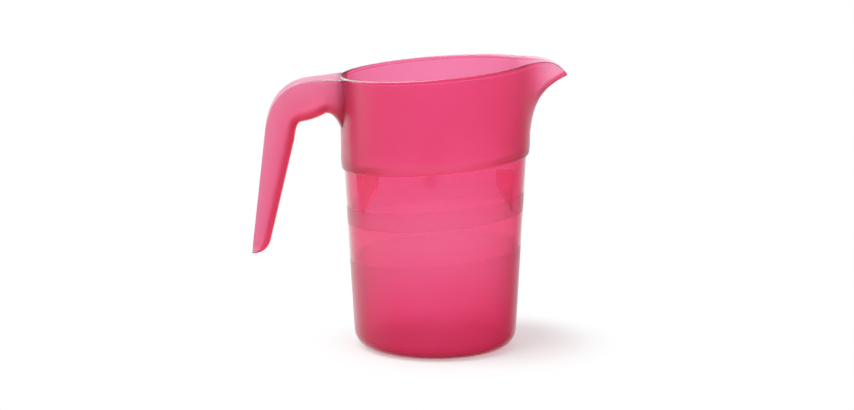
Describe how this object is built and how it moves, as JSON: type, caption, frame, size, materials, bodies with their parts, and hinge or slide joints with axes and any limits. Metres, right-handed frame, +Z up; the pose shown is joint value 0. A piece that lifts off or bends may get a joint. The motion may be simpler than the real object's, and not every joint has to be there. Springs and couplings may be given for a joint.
{
  "type": "stackable pitcher",
  "caption": "Translucent moulded pitcher with a slanted mouth, stepped collar, beak spout, open channel handle and inner lugs that carry another pitcher when stacked.",
  "frame": {"origin": "centre of the flat base, on the surface that the pitcher stands on", "axes": "+Z up along the vessel's axis, +X towards the spout, handle on -X, middle plane XZ"},
  "size_m": [0.2161, 0.131, 0.198],
  "materials": {
    "frosted_plastic": "translucent tinted plastic with a fine frosted surface",
    "clear_plastic": "translucent tinted plastic with a smooth, clearer surface"
  },
  "bodies": {
    "root": {"base_cup": "frosted_plastic", "lower_clear_band": "clear_plastic", "frosted_band": "frosted_plastic", "upper_clear_band": "clear_plastic", "collar": "frosted_plastic", "rim_bead": "frosted_plastic", "spout": "frosted_plastic", "handle": "frosted_plastic", "stacking_lug_1": "clear_plastic", "stacking_lug_2": "clear_plastic", "stacking_lug_3": "clear_plastic"}
  },
  "joints": []
}
